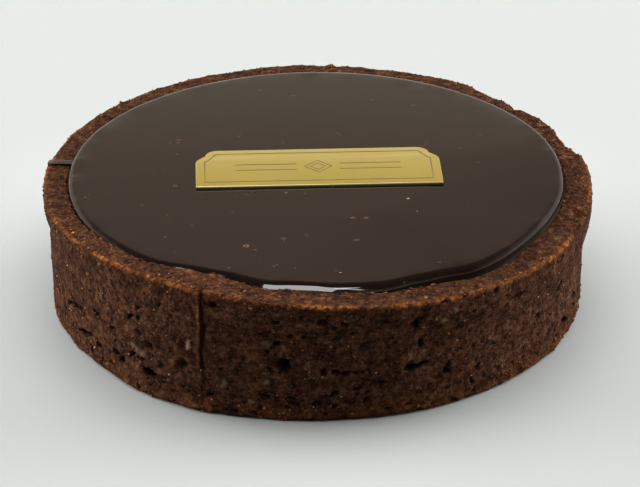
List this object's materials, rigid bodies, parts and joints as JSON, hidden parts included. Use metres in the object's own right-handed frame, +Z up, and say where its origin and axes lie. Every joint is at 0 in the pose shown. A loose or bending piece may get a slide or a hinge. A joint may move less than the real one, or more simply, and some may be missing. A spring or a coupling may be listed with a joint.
{
  "type": "chocolate tart",
  "caption": "Round cocoa pastry crust filled to above its rim with glossy chocolate ganache, with a plain gold card lying on top.",
  "frame": {"origin": "middle of the flat underside", "axes": "+Z up through the tart, -Y towards the front edge of the card, +X to the right"},
  "size_m": [0.081, 0.081, 0.0205],
  "materials": {
    "crust": "baked, crumbly, matt",
    "ganache": "poured, glossy",
    "card": "gold foil on card",
    "dark_chocolate": "satin"
  },
  "bodies": {
    "root": {"crust": "crust", "ganache": "ganache", "label_card": "card", "chocolate_sliver": "dark_chocolate"}
  },
  "joints": []
}
